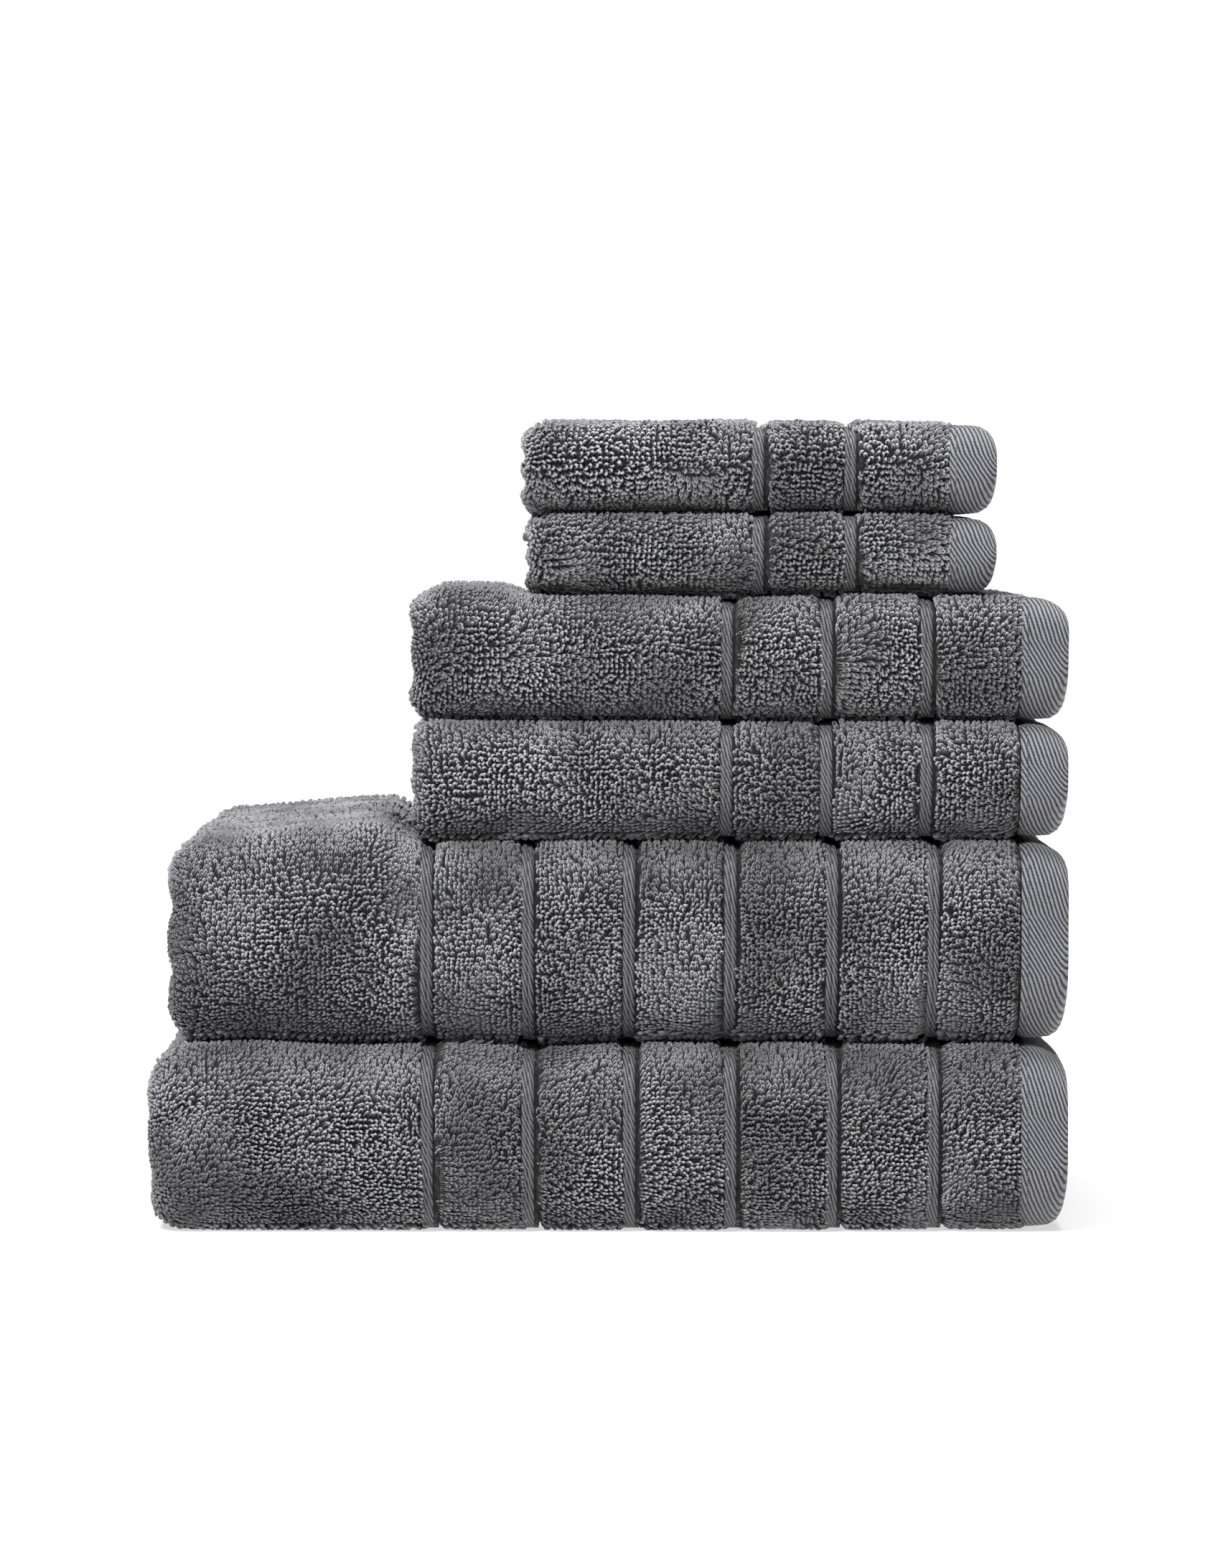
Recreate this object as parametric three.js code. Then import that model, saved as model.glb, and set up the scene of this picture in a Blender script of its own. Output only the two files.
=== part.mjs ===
// Bath towel set: six terry towels, each folded into a pad and stacked with their folds to the front.
// Millimetres, +Z up. Origin: middle of the stack's footprint, on the surface that it rests on.
// +X is the towels' folded length (end hems at the +X end), -Y is the front, where the wide folds are.
import * as THREE from 'three';

// ---- Driving sizes: the cloths as they lie flat -------------------------------------------------

// Each kind is folded along its length into 2, 3 or 4 plies, and then across its width into thirds.
// Flat-woven bands cross the cloth near its ends: their count, the first one's distance from the
// hemmed edge, and the distance from one to the next.
const BATH = { flatLength: 1400, flatWidth: 700, plies: 4, bands: 6, firstBand: 47, bandPitch: 38.6 };
const HAND = { flatLength: 750, flatWidth: 500, plies: 3, bands: 3, firstBand: 53, bandPitch: 38 };
const FACE = { flatLength: 360, flatWidth: 360, plies: 2, bands: 2, firstBand: 53, bandPitch: 35 };

// The stack from the bottom up: settled height of each folded towel, how much shorter its left end
// lies than a full fold, and how far its right end stands in from the stack's right side.
const STACK = [
  { name: 'bath_towel_lower', kind: BATH, height: 72, leftShort: 0, rightInset: 0 },
  { name: 'bath_towel_upper', kind: BATH, height: 77.5, leftShort: 6, rightInset: 0 },
  { name: 'hand_towel_lower', kind: HAND, height: 45.5, leftShort: 0, rightInset: 0.5 },
  { name: 'hand_towel_upper', kind: HAND, height: 47, leftShort: 0, rightInset: 0.5 },
  { name: 'face_washer_lower', kind: FACE, height: 31.5, leftShort: 2, rightInset: 28 },
  { name: 'face_washer_upper', kind: FACE, height: 34.5, leftShort: 0, rightInset: 28 },
];

// ---- Driving sizes: hems, bands, threads and clearances -----------------------------------------

const GROUND_HALF = 1.3;      // half the thickness of the cloth where it has no pile
const END_HEM_WIDTH = 16;     // turned hem across each end
const SIDE_HEM_WIDTH = 8;     // turned hem along each side
const BAND_WIDTH = 4.6;       // flat band between two stretches of pile
const BAND_SLOPE = 0.8;       // pile leaning over each edge of a band
const THREAD_WIDTH = 0.8;
const THREAD_HEIGHT = 0.4;
const STITCH_INSET = 2.5;     // from a hem's inner edge to its stitching
const PLY_GAP = 0.6;          // air between two plies
const PIECE_GAP = 0.3;        // clearance between two pieces that touch
const RIGHT_FOLD_SETBACK = 3; // folds at the right end stop this far short of the hem
const BACK_EDGE_SETBACK = 6;  // the top panel's edge stops this far short of the back fold
const INNER_EDGE_SETBACK = 4; // the tucked panel's edge stops this far behind the front fold
const CORNER_SHARE = 0.56;    // mid-line radius of the front fold's corners, in panel thicknesses

const WIDE_TURN_STEPS = 6;    // facets round a wide turn of the length fold
const TIGHT_TURN_STEPS = 3;
const BACK_FOLD_STEPS = 4;
const FRONT_CORNER_STEPS = 3;

// ---- Materials ----------------------------------------------------------------------------------

const TERRY = { color: '#646368', roughness: 0.95, metalness: 0 };
const HEM = { color: '#7f7e84', roughness: 0.8, metalness: 0 };
const THREAD = { color: '#77767c', roughness: 0.7, metalness: 0 };

// ---- Sizes worked out for one towel -------------------------------------------------------------

// Heights of the plies above the middle of a panel, in ply thicknesses, from the outer hemmed end.
const LEVELS = {
  2: [0.5, -0.5],
  3: [1, -1, 0],
  4: [1.5, -1.5, -0.5, 0.5],
};

const stackRight = BATH.flatLength / BATH.plies / 2;
const stackFront = -BATH.flatWidth / 3 / 2;

function measure(towel, base) {
  const { kind, height } = towel;
  const right = stackRight - towel.rightInset;
  const left = right - kind.flatLength / kind.plies + towel.leftShort;
  const ply = (height + PLY_GAP) / 3 / kind.plies;
  const half = (ply - PLY_GAP) / 2;
  const levels = LEVELS[kind.plies].map((level) => level * ply);
  const leftCentre = left + levels[0] + half;
  const rightRadius = ply / 2;
  const rightCentre = right - RIGHT_FOLD_SETBACK - rightRadius - half;
  return {
    ...towel, right, left, ply, half, levels, leftCentre, rightCentre,
    panel: ply * kind.plies,
    bottom: base - PLY_GAP / 2,
    front: stackFront - PLY_GAP / 2,
    back: stackFront + kind.flatWidth / 3 + PLY_GAP / 2,
  };
}

// ---- The length fold: stations along the cloth, in the plane of x and height above mid-panel ----

// An arc of stations round (x, n). The angles run from one to the other, and `side` is 1 where the
// cloth's outer face is outside the arc and -1 where it is inside.
function arc(x, n, radius, from, to, steps, side) {
  const stations = [];
  for (let i = 0; i <= steps; i += 1) {
    const angle = from + ((to - from) * i) / steps;
    const across = Math.cos(angle);
    const up = Math.sin(angle);
    stations.push({ x: x + radius * across, n: n + radius * up, mx: side * across, mn: side * up });
  }
  return stations;
}

// The cloth's mid-line from the outer end to the inner one. Its ends stop `trim` short of the edges.
function lengthFold(towel, trim) {
  const { levels, leftCentre, rightCentre, right } = towel;
  const quarter = Math.PI / 2;
  const stations = [{ x: right - trim, n: levels[0], mx: 0, mn: 1 }];
  const wide = (levels[0] - levels[1]) / 2;
  stations.push(...arc(leftCentre, 0, wide, quarter, 3 * quarter, WIDE_TURN_STEPS, 1));
  if (levels.length === 2) {
    stations.push({ x: right - trim, n: levels[1], mx: 0, mn: -1 });
    return stations;
  }
  const tight = (levels[2] - levels[1]) / 2;
  const middle = (levels[1] + levels[2]) / 2;
  stations.push(...arc(rightCentre, middle, tight, -quarter, quarter, TIGHT_TURN_STEPS, 1));
  if (levels.length === 3) {
    stations.push({ x: leftCentre + trim, n: levels[2], mx: 0, mn: 1 });
    return stations;
  }
  stations.push(...arc(leftCentre, 0, tight, 3 * quarter, quarter, TIGHT_TURN_STEPS, -1));
  stations.push({ x: right - trim, n: levels[3], mx: 0, mn: -1 });
  return stations;
}

// A face of the cloth: the mid-line moved `offset` along its outer normal.
function face(stations, offset) {
  return stations.map(({ x, n, mx, mn }) => new THREE.Vector2(x + offset * mx, n + offset * mn));
}

// The bands' outline on the outer ply, from the outer end inwards.
function bandPoints(towel) {
  const pileTop = towel.levels[0] + towel.half;
  const floor = towel.levels[0] + GROUND_HALF;
  const points = [];
  for (let i = 0; i < towel.kind.bands; i += 1) {
    const centre = towel.right - towel.kind.firstBand - i * towel.kind.bandPitch;
    const reach = BAND_WIDTH / 2;
    points.push(new THREE.Vector2(centre + reach + BAND_SLOPE, pileTop));
    points.push(new THREE.Vector2(centre + reach, floor));
    points.push(new THREE.Vector2(centre - reach, floor));
    points.push(new THREE.Vector2(centre - reach - BAND_SLOPE, pileTop));
  }
  return points;
}

// ---- The width fold: stations across the cloth, in the plane of y and z -------------------------

// From the tucked panel's edge round the back fold, under the stack and round the front fold to the
// top panel's edge. Each station has its place on the panel's mid-line and the outward normal.
function widthFold(towel, trim) {
  const { panel, front, back, bottom } = towel;
  const quarter = Math.PI / 2;
  const corner = panel * CORNER_SHARE;
  const stations = [];
  const add = (y, z, radius, from, to, steps) => {
    for (const s of arc(y, z, radius, from, to, steps, 1)) {
      stations.push({ y: s.x, z: s.n, py: s.mx, pz: s.mn });
    }
  };
  const cornerY = front + panel / 2 + corner;
  stations.push({ y: front + panel + INNER_EDGE_SETBACK + trim, z: bottom + panel * 1.5, py: 0, pz: 1 });
  add(back - panel, bottom + panel, panel / 2, quarter, -quarter, BACK_FOLD_STEPS);
  add(cornerY, bottom + panel / 2 + corner, corner, -quarter, -2 * quarter, FRONT_CORNER_STEPS);
  add(cornerY, bottom + panel * 2.5 - corner, corner, 2 * quarter, quarter, FRONT_CORNER_STEPS);
  stations.push({ y: back - BACK_EDGE_SETBACK - trim, z: bottom + panel * 2.5, py: 0, pz: 1 });
  return stations;
}

// ---- Solids -------------------------------------------------------------------------------------

// Sweeps a closed outline, given in x and height above mid-panel, along stations of the width fold.
function sweep(outline, stations) {
  const count = outline.length;
  const positions = [];
  const index = [];
  for (const { y, z, py, pz } of stations) {
    for (const point of outline) {
      positions.push(point.x, y + point.y * py, z + point.y * pz);
    }
  }
  for (let j = 0; j + 1 < stations.length; j += 1) {
    for (let i = 0; i < count; i += 1) {
      const a = j * count + i;
      const b = j * count + ((i + 1) % count);
      index.push(a, a + count, b + count, a, b + count, b);
    }
  }
  const last = (stations.length - 1) * count;
  for (const [a, b, c] of THREE.ShapeUtils.triangulateShape(outline, [])) {
    index.push(a, b, c, last + a, last + c, last + b);
  }
  const geometry = new THREE.BufferGeometry();
  geometry.setAttribute('position', new THREE.Float32BufferAttribute(positions, 3));
  geometry.setIndex(index);
  geometry.computeVertexNormals();
  return geometry;
}

// A folded strip of cloth as an outline: one face out and the other back.
function stripOutline(outerFace, innerFace) {
  return [...outerFace, ...innerFace.reverse()];
}

function block(x0, x1, n0, n1) {
  return [
    new THREE.Vector2(x0, n0),
    new THREE.Vector2(x1, n0),
    new THREE.Vector2(x1, n1),
    new THREE.Vector2(x0, n1),
  ];
}

// ---- Pieces -------------------------------------------------------------------------------------

function terryCloth(towel) {
  const stations = lengthFold(towel, END_HEM_WIDTH + PIECE_GAP);
  const outer = face(stations, towel.half);
  outer.splice(1, 0, ...bandPoints(towel));
  const outline = stripOutline(outer, face(stations, -towel.half));
  return sweep(outline, widthFold(towel, SIDE_HEM_WIDTH + PIECE_GAP));
}

// Where an end hem lies along x: the outer one and, past the folds, the inner one.
function endHemSpan(towel, inner) {
  if (inner && towel.levels.length === 3) {
    return [towel.leftCentre, towel.leftCentre + END_HEM_WIDTH];
  }
  return [towel.right - END_HEM_WIDTH, towel.right];
}

function endHem(towel, inner) {
  const level = inner ? towel.levels.at(-1) : towel.levels[0];
  const [low, high] = endHemSpan(towel, inner);
  return sweep(block(low, high, level - GROUND_HALF, level + GROUND_HALF), widthFold(towel, 0));
}

function endStitching(towel, inner) {
  const level = inner ? towel.levels.at(-1) : towel.levels[0];
  const [low, high] = endHemSpan(towel, inner);
  const turnedIn = inner && towel.levels.length === 3 ? high - STITCH_INSET : low + STITCH_INSET;
  const seat = level + GROUND_HALF + PIECE_GAP;
  const outline = block(
    turnedIn - THREAD_WIDTH / 2, turnedIn + THREAD_WIDTH / 2, seat, seat + THREAD_HEIGHT);
  return sweep(outline, widthFold(towel, STITCH_INSET));
}

// A straight stretch at either end of the width fold, from `near` to `far` inside the cloth's edge.
function sideStretch(towel, inner, near, far) {
  const at = (trim) => (inner ? widthFold(towel, trim)[0] : widthFold(towel, trim).at(-1));
  return inner ? [at(near), at(far)] : [at(far), at(near)];
}

function sideHem(towel, inner) {
  const stations = lengthFold(towel, END_HEM_WIDTH + PIECE_GAP);
  const outline = stripOutline(face(stations, GROUND_HALF), face(stations, -GROUND_HALF));
  return sweep(outline, sideStretch(towel, inner, 0, SIDE_HEM_WIDTH));
}

function sideStitching(towel, inner) {
  const stations = lengthFold(towel, END_HEM_WIDTH + STITCH_INSET);
  const seat = GROUND_HALF + PIECE_GAP;
  const outline = stripOutline(face(stations, seat + THREAD_HEIGHT), face(stations, seat));
  const reach = SIDE_HEM_WIDTH - STITCH_INSET;
  return sweep(outline, sideStretch(towel, inner, reach - THREAD_WIDTH / 2, reach + THREAD_WIDTH / 2));
}

function piece(name, geometry, finish) {
  const mesh = new THREE.Mesh(geometry, new THREE.MeshStandardMaterial(finish));
  mesh.name = name;
  return mesh;
}

function foldedTowel(towel) {
  const group = new THREE.Group();
  group.add(
    piece(`${towel.name}.cloth`, terryCloth(towel), TERRY),
    piece(`${towel.name}.end_hem_outer`, endHem(towel, false), HEM),
    piece(`${towel.name}.end_hem_inner`, endHem(towel, true), HEM),
    piece(`${towel.name}.end_stitching_outer`, endStitching(towel, false), THREAD),
    piece(`${towel.name}.end_stitching_inner`, endStitching(towel, true), THREAD),
    piece(`${towel.name}.side_hem_back`, sideHem(towel, false), HEM),
    piece(`${towel.name}.side_hem_tucked`, sideHem(towel, true), HEM),
    piece(`${towel.name}.side_stitching_back`, sideStitching(towel, false), THREAD),
    piece(`${towel.name}.side_stitching_tucked`, sideStitching(towel, true), THREAD),
  );
  return group;
}

const set = new THREE.Group();
let base = 0;
for (const towel of STACK) {
  set.add(foldedTowel(measure(towel, base)));
  base += towel.height + PIECE_GAP;
}

export default set;
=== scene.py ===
import math

import bpy
import numpy as np
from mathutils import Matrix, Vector


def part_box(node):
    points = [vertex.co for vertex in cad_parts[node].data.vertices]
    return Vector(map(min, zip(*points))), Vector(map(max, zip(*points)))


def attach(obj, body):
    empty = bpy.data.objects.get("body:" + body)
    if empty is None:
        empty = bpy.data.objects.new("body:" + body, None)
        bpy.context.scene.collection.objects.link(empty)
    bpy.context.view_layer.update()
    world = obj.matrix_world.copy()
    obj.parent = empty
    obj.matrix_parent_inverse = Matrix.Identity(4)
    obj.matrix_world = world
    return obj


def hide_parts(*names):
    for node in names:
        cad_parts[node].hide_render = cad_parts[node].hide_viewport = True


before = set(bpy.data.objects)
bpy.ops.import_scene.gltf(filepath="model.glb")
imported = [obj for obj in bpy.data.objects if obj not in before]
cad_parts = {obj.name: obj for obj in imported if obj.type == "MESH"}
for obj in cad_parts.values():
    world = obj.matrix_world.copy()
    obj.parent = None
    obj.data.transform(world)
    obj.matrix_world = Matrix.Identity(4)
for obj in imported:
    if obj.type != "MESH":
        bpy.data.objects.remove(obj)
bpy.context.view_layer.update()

MM = 0.001

# ---- Sizes, in millimetres ----------------------------------------------------------------------

# Each kind's flat cut (width, length), the plies of its length fold, its woven bands (how many, how
# far the first is from the end, and the distance between two), and the pitch of its loops in front.
KINDS = {
    "bath_towel": {"flat": (700, 1400), "plies": 4, "bands": 6, "first": 50.6, "pitch": 38.6, "loops": 1.82},
    "hand_towel": {"flat": (500, 750), "plies": 3, "bands": 3, "first": 53, "pitch": 38, "loops": 1.92},
    "face_washer": {"flat": (360, 360), "plies": 2, "bands": 2, "first": 54.6, "pitch": 35, "loops": 1.98},
}
NAMES = [f"{kind}_{place}" for kind in KINDS for place in ("lower", "upper")]
# The heights of the plies' mid-lines over mid-panel, in ply thicknesses, from the outer ply inwards.
LEVELS = {2: (0.5, -0.5), 3: (1, -1, 0), 4: (1.5, -1.5, -0.5, 0.5)}

# The fold.
GROUND_HALF = 1.3        # half the woven ground's thickness
PLY_GAP = 0.6            # between two plies
PIECE_GAP = 0.3          # between the cloth and its hems
RIGHT_SETBACK = 3        # folds at the right end stop this far short of the hem
BACK_SETBACK = 6         # the top panel's edge stops short of the back fold
INNER_SETBACK = 4        # the tucked panel's edge stops behind the front fold
CORNER_SHARE = 0.56      # mid-line radius of the front corners, in panel thicknesses

# Hems and stitching.
END_HEM = 18             # width of the turned hem across an end
SIDE_HEM = 8             # and along a side
HEM_STEP = 0.7           # the end hem lies this far under the pile beside it
STITCH_LENGTH = 2.6
STITCH_GAP = 0.9
STITCH_INSET = 2.5       # from the hem's edge
THREAD = 0.22            # radius of the sewing thread

# The woven bands: a deep crease at the right, the twill, a groove, and a rib by the pile.
BAND = 6.2               # width of a band
BAND_SHARES = (0.01, 0.28, 0.36, 0.48, 0.6, 0.64, 0.69, 0.77, 0.89, 0.99)
BAND_RISE = (0, 0, 0.55, 0.75, 0.7, 0.4, 0.8, 1, 1, 0.8)
CREASE = -0.9            # the crease's height over the cloth's mid-surface
PRESSED_BAND = 0.1       # a band that another panel presses lies this far under the outer face
BAND_MARGIN = 7          # how far beside a band the cloth's mesh is fine
FLOOR_REACH = 10         # how far up its foot the lowest towel presses on what it stands on

# The pile.
PILE_SINK = 1.5          # the loops' roots lie this far under the towel's settled surface
ROOT_SINK = 0.3          # and this far under the ground's outer face
PILE_HEIGHT = 1.5        # a loop's height over its roots
PUFF = 1.5               # how far the pile swells between two bands
SWELL_REACH = 9          # and how far from a band it takes to do so
BACK_PITCH = 2.8         # where the loops are fewer and larger
END_PITCH = 3.4          # and on the inner folds behind the end hems
LOOP_SIZE = 1.82         # the pitch of the loops that these sizes are for
YARN = 0.47              # radius of the loop yarn
LEAN = 1.45              # how far a loop's tip lies from over its roots
LEAN_PATCH = 0.4         # how much that changes in patches,
LEAN_SCATTER = 0.25      # and from one loop to the next,
LEAN_LIMITS = (0.4, 2.0)  # within these limits
LEAN_TURN = 0.5          # how far the way they lean turns in patches, in radians,
TURN_SCATTER = 0.4       # and from one loop to the next
OPEN_TURN = 0.4          # how far the loops' open sides turn in patches, in radians,
TWIST_SCATTER = 0.35     # and from one loop to the next
COMBED_PATCH = 0.9       # how flat the patches are combed
SHARP_PARTING = 0.3      # of a front's height: a nap that turns within less than this is parted
LINE_SCATTER = 0.13      # how far a loop stands out of its row and column, in pitches,
ROW_DRIFT = 0.3          # and how far the rows wander
COVER_MARGIN = 5         # a top counts as covered this far in from the ends and back of the one above,
COVER_FRONT = 14         # and this far in from its front
COVERED_SHARE = 0.5      # of the loops of a top that are made where another towel covers it
COVERED_SCALE = 1.4      # and how much larger these are
# The angles round a loop at which its yarn bends, for each number of segments.
BENDS = {2: (0, 90, 180), 3: (0, 70, 110, 180), 4: (0, 60, 90, 120, 180)}

# How the soft pads settle.
TOP_SQUARE = 3.0         # the power of the front fold's rounding at its top, where 2 is a circle
FOOT_SQUARE = 1.8        # and at its foot
CROWN = 1.6              # how far the front bulges at mid-height
TUCK_SHARE = 0.5         # of the front's height, from its foot, that is tucked in
BROW_RISE = (0.55, 0.9)  # the shares of the front's height between which its brow comes out
FRONT_WAVE = 0.5
FRONT_WAVELENGTH = 70
LEFT_IN_REACH = 40       # how far from the left end the front still lies in,
LEAN_REACH = 60          # the end's lean is felt,
DENT_REACH = 25          # and its dents are
LEAN_PIVOT = 0.3         # the share of the height that an end leans about
SEAM_WAVE = 0.7          # waves where two towels meet
SEAM_WAVELENGTH = 90
SEAM_BROW = 0.6          # of the brow below, that also lifts the front of the towel above,
SEAM_BROW_REACH = 30     # and how far back it does
OPEN_RISE = 8.0          # of a top that lies open, 100 mm long, beside the towel above,
OPEN_SLOPE = 14          # how wide the slope up to it is,
OPEN_REACH = 90          # and how far out it sinks again
OPEN_SINK = 0.7          # by this share
# The width and depth of the rounding of an end's corners.
HEM_CORNERS = {"bath_towel": (14, 9), "hand_towel": (13, 9), "face_washer": (8, 10)}
HEM_FOOT_CORNER = (7, 11)

# Seeds of the irregularities, so that each run gives the same.
SEEDS = {"front": 11, "seam": 40, "parting": 31, "nap": 71, "opening": 51, "lean": 91, "combed": 131,
         "loops": 500, "rows": 5}

# What sets each towel's shape apart: nap_turns are the nap's angles at the top and the foot of its
# front, and the shares of its height between which the one turns into the other; twist is how far most
# loops are turned from lying open to standing edge on; tuck is how far the foot is tucked in under the
# front; lie is how flat the loops lie; dent is how deep the left end is dented where two panels meet;
# brow is how far the top of the front stands out over the foot of the one above; left_in is how far
# the front's left end lies in from the panels behind; combing is how flat the pile is combed at the
# top; lean is how far the left end's top leans right; and the last two are the left end's corners.
SETTLED = {
    "bath_towel_lower": {
        "nap_turns": (0.2, 0.9, 0.1, 0.9), "twist": 0.3, "tuck": 0.5, "lie": 1.0, "dent": 1.0,
        "brow": 0.0, "left_in": -2.2, "combing": 1.0, "lean": 0.0, "left_top": (12, 9), "left_foot": (5, 4),
    },
    "bath_towel_upper": {
        "nap_turns": (0.0, -1.3, 0.1, 0.8), "twist": 0.2, "tuck": 4.0, "lie": 1.0, "dent": 2.5,
        "brow": 2.5, "left_in": -0.6, "combing": 1.0, "lean": 2.0, "left_top": (9, 8), "left_foot": (10, 5),
    },
    "hand_towel_lower": {
        "nap_turns": (-0.3, -1.5, 0.1, 0.8), "twist": 0.1, "tuck": 7.5, "lie": 0.95, "dent": 1.2,
        "brow": 0.0, "left_in": 0.5, "combing": 1.0, "lean": 0.0, "left_top": (12, 6), "left_foot": (9, 4),
    },
    "hand_towel_upper": {
        "nap_turns": (0.3, 2.8, 0.1, 0.75), "twist": 0.1, "tuck": 4.0, "lie": 0.95, "dent": 1.2,
        "brow": 2.5, "left_in": 0.5, "combing": 1.0, "lean": 0.0, "left_top": (12, 6), "left_foot": (9, 4),
    },
    "face_washer_lower": {
        "nap_turns": (0.6, 2.4, 0.1, 0.8), "twist": 0.0, "tuck": 8.0, "lie": 0.8, "dent": 1.2,
        "brow": 0.0, "left_in": 0.5, "combing": 0.9, "lean": 0.0, "left_top": (12, 6), "left_foot": (9, 4),
    },
    "face_washer_upper": {
        "nap_turns": (0.2, 3.1, 0.38, 0.66), "twist": 0.0, "tuck": 6.0, "lie": 0.75, "dent": 1.2,
        "brow": 0.0, "left_in": 0.5, "combing": 0.25, "lean": 0.0, "left_top": (12, 6), "left_foot": (9, 4),
    },
}


# ---- Paths: the cloth's mid-line in a plane -----------------------------------------------------

class Path:
    """Lines and arcs laid end to end in a plane, each with the direction of the cloth's outer face."""

    def __init__(self):
        self.parts = []
        self.length = 0.0

    def line(self, start, end, outward):
        start, end = np.array(start, float), np.array(end, float)
        size = float(np.linalg.norm(end - start))
        self._add(size, lambda d: (start + np.outer(d / size, end - start),
                                   np.broadcast_to(outward, (len(d), 2))))

    def arc(self, centre, radius, begin, end, side=1):
        size = radius * abs(math.radians(end - begin))

        def place(d):
            angle = np.radians(begin + (end - begin) * d / size)
            spoke = np.stack([np.cos(angle), np.sin(angle)], 1)
            return np.array(centre) + radius * spoke, side * spoke

        self._add(size, place)

    def _add(self, size, place):
        self.parts.append((self.length, self.length + size, place))
        self.length += size

    def at(self, distance):
        """Points on the path and its outward directions, at these distances from its start."""
        distance = np.clip(distance, 0, self.length)
        points, outward = np.zeros((len(distance), 2)), np.zeros((len(distance), 2))
        for low, high, place in self.parts:
            here = (distance >= low) & (distance <= high)
            if here.any():
                points[here], outward[here] = place(distance[here] - low)
        return points, outward

    def stops(self, part_steps, low=0.0, high=None):
        """Distances that divide each part into steps no longer than part_steps gives for it."""
        high = self.length if high is None else high
        found = [low, high]
        for (begin, end, _), step in zip(self.parts, part_steps, strict=True):
            begin, end = max(begin, low), min(end, high)
            if end > begin:
                found.extend(np.linspace(begin, end, max(1, math.ceil((end - begin) / step)) + 1))
        found = np.sort(found)
        return found[np.concatenate([[True], np.diff(found) > 0.05])]


def ripple(a, b, wavelength, seed):
    """Smooth irregular waves of about unit height over the plane of a and b."""
    draw = np.random.default_rng(seed)
    total = 0
    for _ in range(7):
        angle, phase = draw.uniform(0, 2 * math.pi, 2)
        rate = 2 * math.pi / (wavelength * draw.uniform(0.7, 1.6))
        total = total + np.sin(rate * (a * math.cos(angle) + b * math.sin(angle)) + phase)
    return total / 2.6


def ease(value, low, high):
    """0 below low, 1 above high, and smooth between them."""
    share = np.clip((value - low) / (high - low), 0, 1)
    return share * share * (3 - 2 * share)


# ---- One folded towel ---------------------------------------------------------------------------

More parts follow.
